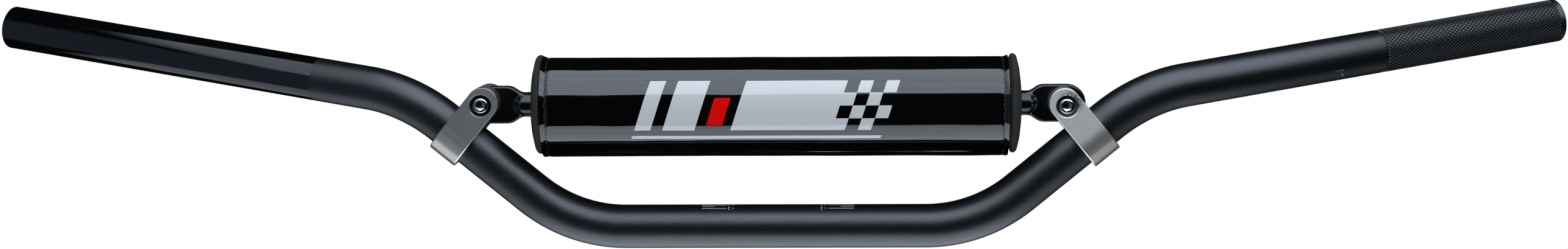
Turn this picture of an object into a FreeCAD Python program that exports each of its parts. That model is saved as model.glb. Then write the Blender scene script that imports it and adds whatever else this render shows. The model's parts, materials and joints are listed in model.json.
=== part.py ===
"""Motocross handlebar: a bent tube with a padded crossbar held in two clamps.

Frame, in millimetres: the origin is the middle of the clamping section, on the
axis of the tube. +X runs along the bar to the clutch side, +Y to the rear,
the way the grips sweep back, and +Z up. The risers, the crossbar and the two
clamps lie in the XZ plane.
"""
import FreeCAD, Part
import math
import os
import re

import Sketcher
from FreeCAD import Placement, Rotation, Vector

# Driving dimensions, in millimetres and degrees
SIZES = {
    # Tube: lengths run between the corners of its centre line
    "bar_diameter": 22.2,
    "bar_bore": 14.2,
    "bend_radius": 75.0,
    "centre_reach": 103.0,
    "riser_angle": 39.2,
    "clamp_bend_gap": 2.7,
    "grip_length": 230.6,
    "grip_rise_angle": 8.07,
    "grip_sweep_angle": 14.07,
    "bar_end_chamfer": 0.8,
    # Crossbar: a round rod with ends pressed flat into lugs
    "crossbar_diameter": 12.7,
    "crossbar_height": 62.5,
    "lug_thickness": 6.6,
    "lug_height": 19.3,
    "lug_edge_chamfer": 2.0,
    "flare_setback": 18.9,
    "flare_length": 6.4,
    "press_setback": 20.9,
    "press_foot_radius": 5.65,
    "press_crown_radius": 3.1,
    "press_step": 0.15,
    "lug_relief": 0.5,
    # Clamps: one block each, bored for the riser and slotted for the lug
    "clamp_width": 15.8,
    "clamp_wall": 2.9,
    "bolt_offset": 20.5,
    "ear_reach": 1.7,
    "clamp_chamfer": 0.4,
    "clamp_clearance": 0.05,
    "slot_clearance": 0.05,
    # Socket head bolts
    "bolt_diameter": 6.0,
    "bolt_length": 20.0,
    "head_diameter": 10.0,
    "head_height": 6.0,
    "head_chamfer": 0.6,
    "head_recess": 0.4,
    "counterbore_clearance": 0.4,
    "bolt_hole_clearance": 0.2,
    "thread_clearance": 0.03,
    "socket_width": 5.0,
    "socket_depth": 3.0,
    "socket_point_depth": 1.3,
    "bolt_tip_chamfer": 0.8,
    # Pad: slit foam core in a wrapped vinyl cover
    "foam_setback": 22.9,
    "foam_end_radius": 25.1,
    "foam_end_rise": 2.4,
    "foam_end_chamfer": 1.6,
    "foam_clearance": 0.15,
    "foam_slit": 0.8,
    "cover_setback": 7.2,
    "cover_radius": 23.7,
    "cover_wall": 0.9,
    "cover_seam_angle": 240.0,
    "cover_seam_gap": 8.0,
    "cover_step_angle": 2.0,
    "flap_angle": 58.0,
    "strip_thickness": 0.9,
    "strip_clearance": 0.05,
    "strip_margin_angle": 5.0,
    "strip_end_margin": 8.0,
}

# Sizes that follow from the driving ones
DERIVED = {
    "bar_radius": "bar_diameter / 2",
    "rod_radius": "crossbar_diameter / 2",
    "clamp_station": "(crossbar_height - bolt_offset * cos(riser_angle)) / sin(riser_angle)",
    "grip_flat_length": "grip_length * cos(grip_rise_angle)",
    "grip_turn_cosine": "cos(riser_angle) * cos(grip_rise_angle) * cos(grip_sweep_angle)"
    " + sin(riser_angle) * sin(grip_rise_angle)",
    "grip_bend_setback": "bend_radius * tan(acos(grip_turn_cosine) / 2)",
    "riser_length": "clamp_station + clamp_width / 2 + clamp_bend_gap + grip_bend_setback",
    "riser_top_reach": "centre_reach + riser_length * cos(riser_angle)",
    "riser_top_height": "riser_length * sin(riser_angle)",
    "tip_reach": "riser_top_reach + grip_flat_length * cos(grip_sweep_angle)",
    "tip_sweep": "grip_flat_length * sin(grip_sweep_angle)",
    "tip_height": "riser_top_height + grip_length * sin(grip_rise_angle)",
    "bolt_reach": "centre_reach + clamp_station * cos(riser_angle) - bolt_offset * sin(riser_angle)",
    "clamp_radius": "bar_radius + clamp_clearance + clamp_wall",
    "ear_tip": "bolt_offset + ear_reach + clamp_width / 2",
    "slot_width": "lug_thickness + 2 * slot_clearance",
    "counterbore_depth": "head_height + head_recess",
    "counterbore_radius": "head_diameter / 2 + counterbore_clearance",
    "seat_depth": "clamp_radius - counterbore_depth",
    "bolt_hole_radius": "bolt_diameter / 2 + bolt_hole_clearance",
    "tapped_radius": "bolt_diameter / 2 + thread_clearance",
    "socket_floor": "head_height - socket_depth",
    "press_reach": "bolt_reach - press_setback",
    "flare_reach": "bolt_reach - flare_setback",
    "lug_reach": "flare_reach + flare_length",
    "press_depth": "rod_radius - lug_thickness / 2",
    "flare_root": "rod_radius - press_step",
    "flare_rise": "lug_height / 2 - flare_root",
    "flare_radius": "(flare_length ^ 2 + flare_rise ^ 2) / (4 * flare_rise)",
    "foam_reach": "bolt_reach - foam_setback",
    "cover_length": "2 * (foam_reach - cover_setback)",
    "cover_inner_radius": "cover_radius - cover_wall",
    "foam_radius": "cover_inner_radius - foam_clearance",
    "foam_bore_radius": "rod_radius + foam_clearance",
    "foam_end_start": "cover_length / 2 + foam_clearance",
    "flap_lift": "cover_wall + 2 * (strip_thickness + strip_clearance) + strip_clearance",
    "flap_inner_radius": "cover_inner_radius + flap_lift",
    "loop_radius": "cover_radius + strip_clearance",
    "hook_radius": "loop_radius + strip_thickness + strip_clearance",
    "strip_angle": "flap_angle - cover_seam_gap - 2 * strip_margin_angle",
    "strip_start": "cover_seam_angle + cover_seam_gap + strip_margin_angle",
    "strip_length": "cover_length - 2 * strip_end_margin",
}

LEFT = -1
RIGHT = 1
SOCKET_SIDE_COUNT = 6
# How a sketch numbers its own axes and the points of a line or an arc
X_AXIS_INDEX = -1
Y_AXIS_INDEX = -2
START_INDEX = 1
END_INDEX = 2
CENTRE_INDEX = 3
# Two places closer than this are the same place
TOUCHING = 0.001
MM3_PER_CM3 = 1000
X_AXIS = Vector(1, 0, 0)
Y_AXIS = Vector(0, 1, 0)
Z_AXIS = Vector(0, 0, 1)
# Turns a shape's own Z axis onto X, with its X axis on Y
ALONG_BAR = Rotation(Vector(1, 1, 1), 120)
# Turns a shape's own Z axis to the front, -Y
TO_FRONT = Rotation(X_AXIS, 90)
# Turns a shape's own Z axis to the rear, +Y
TO_REAR = Rotation(X_AXIS, -90)

doc = FreeCAD.newDocument("handlebar")


def make_sheet():
    """Puts the driving and the derived dimensions into the spreadsheet."""
    sheet = doc.addObject("Spreadsheet::Sheet", "Sizes")
    row = 1
    for table in (SIZES, DERIVED):
        for name, entry in table.items():
            sheet.set(f"A{row}", name)
            sheet.set(f"B{row}", f"={entry}" if table is DERIVED else str(entry))
            sheet.setAlias(f"B{row}", name)
            row += 1
    doc.recompute()
    return sheet


sizes = make_sheet()


def size(expression):
    """The value of an expression of sheet names, as a plain number."""
    value = sizes.evalExpression(expression)
    return getattr(value, "Value", value)


def named(expression):
    """The same expression, written so that another object can be bound to it."""

    def in_sheet(word):
        known = word[0] in SIZES or word[0] in DERIVED
        return f"Sizes.{word[0]}" if known else word[0]

    return re.sub(r"[a-z]\w*", in_sheet, expression)


def bind(thing, **bound):
    """Binds properties to expressions; x, y and z stand for the position."""
    for name, expression in bound.items():
        path = f"Placement.Base.{name}" if name in ("x", "y", "z") else name
        thing.setExpression(path, named(expression))


def primitive(kind, name, turn=None, **bound):
    """A Part primitive or boolean with its sizes and position bound to the sheet."""
    thing = doc.addObject(f"Part::{kind}", name)
    if turn is not None:
        thing.Placement = Placement(Vector(), turn)
    bind(thing, **bound)
    return thing


def joined(name, *pieces):
    fuse = doc.addObject("Part::MultiFuse", name)
    fuse.Shapes = list(pieces)
    fuse.Refine = True
    return fuse


def cut(name, base, tool):
    difference = doc.addObject("Part::Cut", name)
    difference.Base = base
    difference.Tool = tool
    return difference


def common(name, base, tool):
    overlap = doc.addObject("Part::Common", name)
    overlap.Base = base
    overlap.Tool = tool
    return overlap


def make_body(name):
    return doc.addObject("PartDesign::Body", name)


def origin_plane(body, role):
    return next(plane for plane in body.Origin.OriginFeatures if plane.Role == role)


def make_sketch(body, name, role, lift=None):
    """A sketch on one of the body's own planes, lifted off it by an expression."""
    sketch = body.newObject("Sketcher::SketchObject", name)
    sketch.AttachmentSupport = [(origin_plane(body, role), "")]
    sketch.MapMode = "FlatFace"
    if lift is not None:
        sketch.setExpression("AttachmentOffset.Base.z", named(lift))
    return sketch


def pin_coordinate(sketch, kind, axis, geometry, end, expression):
    """Fixes one coordinate of a point to the value of an expression."""
    if expression == "0":
        sketch.addConstraint(Sketcher.Constraint("PointOnObject", geometry, end, axis))
        return
    value = size(expression)
    origin = (X_AXIS_INDEX, START_INDEX)
    index = sketch.addConstraint(Sketcher.Constraint(kind, *origin, geometry, end, value))
    sketch.setExpression(f"Constraints[{index}]", named(expression))


def pin_point(sketch, geometry, end, corner):
    pin_coordinate(sketch, "DistanceX", Y_AXIS_INDEX, geometry, end, corner[0])
    pin_coordinate(sketch, "DistanceY", X_AXIS_INDEX, geometry, end, corner[1])


def point(corner):
    return Vector(size(corner[0]), size(corner[1]), 0)


def draw_outline(sketch, corners, arcs=None):
    """Draws a closed outline of expression pairs and pins every corner.

    arcs names the edges that are arcs, by the number of their first corner, with
    the expression pair of the centre and whether the arc runs clockwise.
    """
    arcs = arcs or {}
    count = len(corners)
    clockwise = {index for index, (_, turned) in arcs.items() if turned}
    for index, corner in enumerate(corners):
        start = point(corner)
        finish = point(corners[(index + 1) % count])
        if index not in arcs:
            sketch.addGeometry(Part.LineSegment(start, finish), False)
            continue
        middle = point(arcs[index][0])
        circle = Part.Circle(middle, Z_AXIS, (start - middle).Length)
        first, last = (finish, start) if index in clockwise else (start, finish)
        arc = Part.ArcOfCircle(circle, circle.parameter(first), circle.parameter(last))
        sketch.addGeometry(arc, False)
    for index, corner in enumerate(corners):
        start_end = END_INDEX if index in clockwise else START_INDEX
        finish_end = START_INDEX if index in clockwise else END_INDEX
        after = (index + 1) % count
        after_end = END_INDEX if after in clockwise else START_INDEX
        meeting = (index, finish_end, after, after_end)
        sketch.addConstraint(Sketcher.Constraint("Coincident", *meeting))
        pin_point(sketch, index, start_end, corner)
    for index, (centre, _) in arcs.items():
        # Both ends are pinned, so one coordinate of the centre is enough
        pin_coordinate(sketch, "DistanceX", Y_AXIS_INDEX, index, CENTRE_INDEX, centre[0])


def draw_circle(sketch, radius, centre=("0", "0")):
    index = sketch.addGeometry(Part.Circle(point(centre), Z_AXIS, size(radius)), False)
    pin_point(sketch, index, CENTRE_INDEX, centre)
    constraint = sketch.addConstraint(Sketcher.Constraint("Radius", index, size(radius)))
    sketch.setExpression(f"Constraints[{constraint}]", named(radius))


def pad(body, name, sketch, length):
    feature = body.newObject("PartDesign::Pad", name)
    feature.Profile = sketch
    feature.Midplane = True
    feature.setExpression("Length", named(length))
    return feature


def pocket_through(body, name, sketch):
    """Cuts the sketch's outline through all of the body, both ways."""
    feature = body.newObject("PartDesign::Pocket", name)
    feature.Profile = sketch
    feature.Midplane = True
    feature.Type = "ThroughAll"
    return feature


def pocket(body, name, sketch, length, reverse=False):
    feature = body.newObject("PartDesign::Pocket", name)
    feature.Profile = sketch
    feature.Reversed = reverse
    feature.setExpression("Length", named(length))
    return feature


def revolve(body, name, sketch, axis):
    feature = body.newObject("PartDesign::Revolution", name)
    feature.Profile = sketch
    feature.ReferenceAxis = (sketch, [axis])
    feature.Angle = 360
    return feature


def chamfer(body, name, base, width, picked):
    """Chamfers the edges of a feature that picked accepts."""
    doc.recompute()
    chosen = [f"Edge{i}" for i, edge in enumerate(base.Shape.Edges, 1) if picked(edge)]
    feature = body.newObject("PartDesign::Chamfer", name)
    feature.Base = (base, chosen)
    feature.setExpression("Size", named(width))
    return feature


def lies_at(edge, coordinate, value):
    """Whether both ends and the middle of an edge share one coordinate."""
    middle = edge.valueAt((edge.FirstParameter + edge.LastParameter) / 2)
    places = [vertex.Point for vertex in edge.Vertexes] + [middle]
    return all(abs(getattr(place, coordinate) - value) < TOUCHING for place in places)


def rounded_path(corners, radius):
    """A wire of straight runs, joined by tangent arcs of one radius."""
    edges = []
    start = corners[0]
    for before, corner, after in zip(corners, corners[1:], corners[2:]):
        back = (before - corner).normalize()
        ahead = (after - corner).normalize()
        half_opening = back.getAngle(ahead) / 2
        setback = radius / math.tan(half_opening)
        to_crown = radius / math.sin(half_opening) - radius
        arc_start = corner + back * setback
        arc_finish = corner + ahead * setback
        crown = corner + (back + ahead).normalize() * to_crown
        edges.append(Part.LineSegment(start, arc_start).toShape())
        edges.append(Part.Arc(arc_start, crown, arc_finish).toShape())
        start = arc_finish
    edges.append(Part.LineSegment(start, corners[-1]).toShape())
    return Part.Wire(edges)


def swept_rod(name, path, radius, start, direction):
    """A round rod along a path that starts at a point in a direction."""
    section = primitive("Circle", f"{name}_section", Radius=radius)
    section.Placement = Placement(start, Rotation(Z_AXIS, direction))
    rod = doc.addObject("Part::Sweep", name)
    rod.Sections = [section]
    rod.Spine = (path, [f"Edge{i}" for i in range(1, len(path.Shape.Edges) + 1)])
    rod.Solid = True
    return rod


def make_handlebar_tube():
    """The bar: an even tube, bent four times and left open at its ends."""
    right = [
        Vector(size("centre_reach"), 0, 0),
        Vector(size("riser_top_reach"), 0, size("riser_top_height")),
        Vector(size("tip_reach"), size("tip_sweep"), size("tip_height")),
    ]
    left = [Vector(-corner.x, corner.y, corner.z) for corner in reversed(right)]
    corners = left + right
    path = doc.addObject("Part::Feature", "bar_centre_line")
    path.Shape = rounded_path(corners, size("bend_radius"))
    direction = corners[1] - corners[0]
    outside = swept_rod("bar_outside", path, "bar_radius", corners[0], direction)
    inside = swept_rod("bar_inside", path, "bar_bore / 2", corners[0], direction)
    hollow = cut("bar_hollow", outside, inside)
    doc.recompute()
    rim = size("pi * bar_diameter")
    width = size("bar_end_chamfer")
    tube = doc.addObject("Part::Chamfer", "handlebar_tube")
    tube.Base = hollow
    edges = enumerate(hollow.Shape.Edges, 1)
    rims = [i for i, edge in edges if abs(edge.Length - rim) < TOUCHING and is_end(edge, corners)]
    tube.Edges = [(i, width, width) for i in rims]
    return tube


def is_end(edge, corners):
    """Whether a rim is centred on either end of the bar."""
    return min((edge.CenterOfMass - tip).Length for tip in (corners[0], corners[-1])) < TOUCHING


def make_lug(name):
    """The flat end of the crossbar: its outline, and its bevelled pressed edges."""
    body = make_body(name)
    sketch = make_sketch(body, f"{name}_outline", "XZ_Plane")
    half = "lug_height / 2"
    low = f"-{half}"
    root = "press_reach - flare_rise"
    middle_height = "(lug_height / 2 + flare_root) / 2"
    middle_reach = "flare_reach + flare_length / 2"
    draw_outline(
        sketch,
        [
            (root, "-flare_root"),
            ("flare_reach", "-flare_root"),
            (middle_reach, f"-{middle_height}"),
            ("lug_reach", low),
            ("bolt_reach", low),
            ("bolt_reach", half),
            ("lug_reach", half),
            (middle_reach, middle_height),
            ("flare_reach", "flare_root"),
            (root, "flare_root"),
        ],
        {
            1: (("flare_reach", "-flare_root - flare_radius"), True),
            2: (("lug_reach", "flare_radius - lug_height / 2"), False),
            4: (("bolt_reach", "0"), False),
            6: (("lug_reach", "lug_height / 2 - flare_radius"), False),
            7: (("flare_reach", "flare_root + flare_radius"), True),
        },
    )
    plate = pad(body, f"{name}_plate", sketch, "lug_thickness")
    face = size("lug_thickness / 2")
    start = size(root)

    def on_outline(edge):
        on_face = lies_at(edge, "y", face) or lies_at(edge, "y", -face)
        return on_face and not lies_at(edge, "x", start)

    chamfer(body, f"{name}_edges", plate, "lug_edge_chamfer", on_outline)
    return body


def make_nose(word):
    """The round tongue that the press leaves on the front and back of a lug."""
    cones = []
    for face, turn, place in (
        ("front", TO_FRONT, "-lug_thickness / 2"),
        ("rear", TO_REAR, "lug_thickness / 2"),
    ):
        cones.append(
            primitive(
                "Cone",
                f"{word}_press_{face}",
                turn,
                x="press_reach",
                y=place,
                Radius1="press_foot_radius",
                Radius2="press_crown_radius",
                Height="press_depth",
            )
        )
    core = primitive(
        "Cylinder",
        f"{word}_press_core",
        TO_FRONT,
        x="press_reach",
        y="lug_thickness / 2",
        Radius="rod_radius",
        Height="lug_thickness",
    )
    stub = primitive(
        "Cylinder",
        f"{word}_rod_stub",
        ALONG_BAR,
        x="press_reach",
        Radius="rod_radius",
        Height="2 * press_foot_radius",
    )
    return common(f"{word}_nose", stub, joined(f"{word}_press_form", core, *cones))


def make_crossbar():
    """A solid rod with both ends pressed flat, drilled, and relieved for the bar."""
    rod = primitive(
        "Cylinder",
        "crossbar_rod",
        ALONG_BAR,
        x="-press_reach",
        Radius="rod_radius",
        Height="2 * press_reach",
    )
    riser_lean = "90 - riser_angle"
    pieces = [rod]
    tools = []
    for side, word in ((LEFT, "left"), (RIGHT, "right")):
        end = [make_lug(f"{word}_lug"), make_nose(word)]
        for piece in end:
            if side == LEFT:
                piece.Placement = Placement(Vector(), Rotation(Z_AXIS, 180))
        pieces += end
        tools.append(
            primitive(
                "Cylinder",
                f"{word}_lug_hole",
                TO_FRONT,
                x=f"{side} * bolt_reach",
                y="lug_thickness",
                Radius="bolt_hole_radius",
                Height="2 * lug_thickness",
            )
        )
        relief = primitive(
            "Cylinder",
            f"{word}_lug_relief",
            Rotation(Y_AXIS * side, size(riser_lean)),
            x=f"{side} * centre_reach",
            z="-crossbar_height",
            Radius="bar_radius + lug_relief",
            Height="2 * riser_length",
        )
        relief.setExpression("Placement.Rotation.Angle", named(riser_lean))
        tools.append(relief)
    whole = joined("crossbar_blank", *pieces)
    crossbar = cut("crossbar", whole, joined("crossbar_cuts", *tools))
    bind(crossbar, z="crossbar_height")
    return crossbar


def make_clamp(name, side):
    """One clamp: bored for the riser, slotted for the lug, with a rounded ear.

    In its own frame the riser runs along Z and the bolt lies along +X.
    """
    body = make_body(name)
    profile = make_sketch(body, f"{name}_profile", "XY_Plane")
    draw_outline(
        profile,
        [
            ("0", "clamp_radius"),
            ("0", "-clamp_radius"),
            ("ear_tip", "-clamp_radius"),
            ("ear_tip", "clamp_radius"),
        ],
        {0: (("0", "0"), False)},
    )
    pad(body, f"{name}_block", profile, "clamp_width")
    bore = make_sketch(body, f"{name}_bore_sketch", "XY_Plane")
    draw_circle(bore, "bar_radius + clamp_clearance")
    pocket_through(body, f"{name}_bore", bore)
    slot = make_sketch(body, f"{name}_slot_sketch", "XY_Plane")
    draw_outline(
        slot,
        [
            ("0", "-slot_width / 2"),
            ("ear_tip + clamp_width", "-slot_width / 2"),
            ("ear_tip + clamp_width", "slot_width / 2"),
            ("0", "slot_width / 2"),
        ],
    )
    pocket_through(body, f"{name}_slot", slot)
    ear = make_sketch(body, f"{name}_ear_sketch", "XZ_Plane")
    ear_centre = "bolt_offset + ear_reach"
    draw_outline(
        ear,
        [
            (ear_centre, "clamp_width / 2"),
            (ear_centre, "-clamp_width / 2"),
            (ear_centre, "-clamp_width"),
            ("ear_tip + clamp_width", "-clamp_width"),
            ("ear_tip + clamp_width", "clamp_width"),
            (ear_centre, "clamp_width"),
        ],
        {0: ((ear_centre, "0"), True)},
    )
    pocket_through(body, f"{name}_ear", ear)
    bolt_centre = ("bolt_offset", "0")
    clear = make_sketch(body, f"{name}_hole_sketch", "XZ_Plane")
    draw_circle(clear, "bolt_hole_radius", bolt_centre)
    pocket(body, f"{name}_hole", clear, "clamp_radius", reverse=True)
    tapped = make_sketch(body, f"{name}_thread_sketch", "XZ_Plane")
    draw_circle(tapped, "tapped_radius", bolt_centre)
    pocket(body, f"{name}_thread", tapped, "clamp_radius")
    sunk = make_sketch(body, f"{name}_counterbore_sketch", "XZ_Plane", "clamp_radius")
    draw_circle(sunk, "counterbore_radius", bolt_centre)
    counterbore = pocket(body, f"{name}_counterbore", sunk, "counterbore_depth")
    face = size("clamp_radius")
    side_face = size("clamp_width / 2")

    def is_rim(edge):
        on_face = lies_at(edge, "y", face) or lies_at(edge, "y", -face)
        if on_face:
            return not lies_at(edge, "x", 0)
        on_side = lies_at(edge, "z", side_face) or lies_at(edge, "z", -side_face)
        round_edge = isinstance(edge.Curve, Part.Circle)
        return on_side and round_edge and abs(edge.Curve.Radius - face) < TOUCHING

    chamfer(body, f"{name}_edges", counterbore, "clamp_chamfer", is_rim)
    lean = f"90 + {side} * riser_angle"
    body.Placement = Placement(Vector(), Rotation(-Y_AXIS, size(lean)))
    body.setExpression("Placement.Rotation.Angle", named(lean))
    bind(
        body,
        x=f"{side} * (centre_reach + clamp_station * cos(riser_angle))",
        z="clamp_station * sin(riser_angle)",
    )
    return body


def make_bolt(name, side):
    """A socket head bolt, its seat on its own XY plane and its head towards +Z."""
    body = make_body(name)
    profile = make_sketch(body, f"{name}_profile", "XZ_Plane")
    shank = "bolt_diameter / 2"
    draw_outline(
        profile,
        [
            ("0", "-bolt_length"),
            (f"{shank} - bolt_tip_chamfer", "-bolt_length"),
            (shank, "bolt_tip_chamfer - bolt_length"),
            (shank, "0"),
            ("head_diameter / 2", "0"),
            ("head_diameter / 2", "head_height"),
            ("0", "head_height"),
        ],
    )
    turned = revolve(body, f"{name}_turned", profile, "V_Axis")
    top = size("head_height")
    chamfer(body, f"{name}_head", turned, "head_chamfer", lambda edge: lies_at(edge, "z", top))
    socket = body.newObject("PartDesign::SubtractivePrism", f"{name}_socket")
    socket.Polygon = SOCKET_SIDE_COUNT
    bind(
        socket,
        Circumradius=f"socket_width / 2 / cos(180 / {SOCKET_SIDE_COUNT})",
        Height="socket_depth",
    )
    drilled = body.newObject("PartDesign::SubtractiveCone", f"{name}_socket_point")
    bind(drilled, Radius1="0", Radius2="socket_width / 2", Height="socket_point_depth")
    for feature, floor in ((socket, "socket_floor"), (drilled, "socket_floor - socket_point_depth")):
        feature.AttachmentSupport = [(origin_plane(body, "XY_Plane"), "")]
        feature.MapMode = "FlatFace"
        feature.setExpression("AttachmentOffset.Base.z", named(floor))
    body.Placement = Placement(Vector(), TO_FRONT)
    bind(body, x=f"{side} * bolt_reach", y="-seat_depth", z="crossbar_height")
    return body


def make_pad_foam():
    """The foam core: a waist under the cover, and a bead with a raised face at each end."""
    body = make_body("pad_foam")
    profile = make_sketch(body, "foam_profile", "XZ_Plane")
    rim = "foam_reach - foam_end_rise"
    shoulder = f"{rim} - foam_end_chamfer"
    bead_start = "foam_end_start + foam_end_chamfer"
    bead_side = "foam_end_radius - foam_end_chamfer"
    draw_outline(
        profile,
        [
            ("-foam_reach", "foam_bore_radius"),
            ("foam_reach", "foam_bore_radius"),
            (rim, bead_side),
            (shoulder, "foam_end_radius"),
            (bead_start, "foam_end_radius"),
            ("foam_end_start", bead_side),
            ("foam_end_start", "foam_radius"),
            ("-foam_end_start", "foam_radius"),
            ("-foam_end_start", bead_side),
            (f"-({bead_start})", "foam_end_radius"),
            (f"-({shoulder})", "foam_end_radius"),
            (f"-({rim})", bead_side),
        ],
    )
    revolve(body, "foam_turned", profile, "H_Axis")
    slit = make_sketch(body, "foam_slit_sketch", "YZ_Plane")
    draw_outline(
        slit,
        [
            ("-foam_slit / 2", "0"),
            ("-foam_slit / 2", "-2 * foam_end_radius"),
            ("foam_slit / 2", "-2 * foam_end_radius"),
            ("foam_slit / 2", "0"),
        ],
    )
    pocket_through(body, "foam_slit_cut", slit)
    bind(body, z="crossbar_height")
    return body


def curved_sheet(name, inner, wall, length, start, angle):
    """A sheet bent round the crossbar; its angles run from the rear up to the top."""
    outside = primitive(
        "Cylinder",
        f"{name}_outside",
        Rotation(Z_AXIS, size(start)),
        Radius=f"{inner} + {wall}",
        Height=length,
        Angle=angle,
    )
    outside.setExpression("Placement.Rotation.Angle", named(start))
    inside = primitive("Cylinder", f"{name}_inside", Radius=inner, Height=length)
    sheet = cut(name, outside, inside)
    sheet.Placement = Placement(Vector(), ALONG_BAR)
    bind(sheet, x=f"-({length}) / 2", z="crossbar_height")
    return sheet


def make_pad_cover():
    """The cover: one sheet wrapped round the foam, its flap lapped under the pad."""
    wrap = curved_sheet(
        "cover_wrap",
        "cover_inner_radius",
        "cover_wall",
        "cover_length",
        "cover_seam_angle + cover_seam_gap",
        "360 - cover_seam_gap",
    )
    step = curved_sheet(
        "cover_step",
        "cover_inner_radius",
        "cover_wall + flap_lift",
        "cover_length",
        "cover_seam_angle - cover_step_angle",
        "cover_step_angle",
    )
    flap = curved_sheet(
        "cover_flap",
        "flap_inner_radius",
        "cover_wall",
        "cover_length",
        "cover_seam_angle - cover_step_angle",
        "flap_angle + cover_step_angle",
    )
    return joined("pad_cover", wrap, step, flap)


def make_strip(name, radius):
    """One half of the hook and loop closure, between the cover and its flap."""
    return curved_sheet(
        name, radius, "strip_thickness", "strip_length", "strip_start", "strip_angle"
    )


NODES = [
    make_handlebar_tube(),
    make_crossbar(),
    make_clamp("left_clamp", LEFT),
    make_clamp("right_clamp", RIGHT),
    make_bolt("left_bolt", LEFT),
    make_bolt("right_bolt", RIGHT),
    make_pad_foam(),
    make_pad_cover(),
    make_strip("loop_strip", "loop_radius"),
    make_strip("hook_strip", "hook_radius"),
]


def check_document():
    """Stops if an object failed or a piece is empty or not a valid solid."""
    failed = [thing.Name for thing in doc.Objects if {"Invalid", "Error"} & set(thing.State)]
    if failed:
        raise RuntimeError(f"failed objects: {failed}")
    for node in NODES:
        shape = node.Shape
        if shape.isNull() or not shape.isValid() or not shape.Solids:
            raise RuntimeError(f"{node.Label} has no valid solid")


def export_nodes():
    os.makedirs("parts", exist_ok=True)
    for node in NODES:
        shape = node.Shape
        shape.exportStep(f"parts/{node.Label}.step")
        box = shape.optimalBoundingBox()
        volume = shape.Volume / MM3_PER_CM3
        print(f"{node.Label}: {len(shape.Solids)} solid, {volume:.2f} cm3, {box}")


doc.recompute()
check_document()
export_nodes()
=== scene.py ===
# %% [markdown]
# # A motocross handlebar, dressed and photographed
# The handlebar is one aluminium tube, 22.2 mm thick and bent in four places, with a bolted-on cross
# bar and a foam pad on it. The imported CAD model is the frame for everything here: it is loaded
# first, and each new piece takes its place from it.

# %% Load the frame
import json
from math import atan2, cos, degrees, hypot, pi, radians, sin, tan

import bpy
from mathutils import Matrix, Vector

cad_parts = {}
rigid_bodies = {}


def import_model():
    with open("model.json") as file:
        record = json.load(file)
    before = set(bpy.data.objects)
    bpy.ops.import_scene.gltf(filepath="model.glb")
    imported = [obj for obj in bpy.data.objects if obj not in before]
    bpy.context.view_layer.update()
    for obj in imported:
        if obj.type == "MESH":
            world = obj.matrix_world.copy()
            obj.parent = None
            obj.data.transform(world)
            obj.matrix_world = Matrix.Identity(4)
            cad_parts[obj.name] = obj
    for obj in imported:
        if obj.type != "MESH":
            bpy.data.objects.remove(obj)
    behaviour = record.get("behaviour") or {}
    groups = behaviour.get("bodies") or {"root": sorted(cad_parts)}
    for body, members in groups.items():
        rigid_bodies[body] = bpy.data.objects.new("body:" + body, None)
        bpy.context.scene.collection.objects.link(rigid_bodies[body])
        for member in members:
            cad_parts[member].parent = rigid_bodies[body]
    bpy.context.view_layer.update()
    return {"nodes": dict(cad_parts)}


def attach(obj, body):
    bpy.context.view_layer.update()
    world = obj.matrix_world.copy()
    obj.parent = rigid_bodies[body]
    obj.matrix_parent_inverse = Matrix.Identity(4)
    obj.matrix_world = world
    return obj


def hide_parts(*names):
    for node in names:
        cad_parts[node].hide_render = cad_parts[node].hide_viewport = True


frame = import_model()
print("CAD nodes:", sorted(frame["nodes"]))

# %% [markdown]
# ## Small helpers
# Blender works in metres and in linear colour, while a drawing is in millimetres and a paint chip is
# an sRGB code. Two small functions turn one into the other, so every number below can be read as it
# would be measured on the real part.

# %% Millimetres and colours
MM = 0.001


def mm(*values):
    """Millimetres as a vector in metres."""
    return Vector(value * MM for value in values)


def linear(code):
    """The linear colour of an sRGB hex code."""
    parts = [int(code[start:start + 2], 16) / 255 for start in (1, 3, 5)]
    return [part / 12.92 if part <= 0.04045 else ((part + 0.055) / 1.055) ** 2.4
            for part in parts] + [1]


print("mid grey is", [round(part, 3) for part in linear("#808080")])

# %% [markdown]
# A material is a small network of nodes. One function adds a node, sets it and wires it up: an input
# is a plain value, a colour code or the output of another node. Where a number is the same all over
# a surface, it goes on the shader's own socket, because that is what an export keeps.

# %% Node helpers
def add(tree, kind, *inputs, out=0, **settings):
    """Adds a node, with inputs in order or by name in a dictionary; returns one of its outputs."""
    node = tree.nodes.new("ShaderNode" + kind)
    for name, value in settings.items():
        setattr(node, name, value)
    for order, given in enumerate(inputs):
        for socket, value in (given if isinstance(given, dict) else {order: given}).items():
            if isinstance(value, bpy.types.NodeSocket):
                tree.links.new(value, node.inputs[socket])
            else:
                node.inputs[socket].default_value = linear(value) if isinstance(value, str) else value
    return node.outputs[out]


def connect(node, **links):
    """Links outputs to a node's sockets."""
    for socket, output in links.items():
        node.id_data.links.new(output, node.inputs[socket.replace("_", " ")])


def new_finish(name, **sockets):
    """A material with its shader's sockets set, its tree, its shader and its Object coordinates."""
    finish = bpy.data.materials.new(name)
    finish.use_nodes = True
    tree = finish.node_tree
    shader = tree.nodes["Principled BSDF"]
    for socket, value in sockets.items():
        shader.inputs[socket.replace("_", " ")].default_value = value
    return finish, tree, shader, add(tree, "TexCoord", out="Object")


# %% [markdown]
# ## Finishes
# Most patterns here are noise, sized in millimetres. It shades a colour, sways the roughness, and
# raises a relief whose depth is in millimetres too.

# %% Pattern helpers
NOISE_RANGE = (0.3, 0.7)  # nearly all of a noise lies between these
COLOURS = {"data_type": "RGBA", "out": 2}  # such a Mix node has its two colours at 6 and 7


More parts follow.
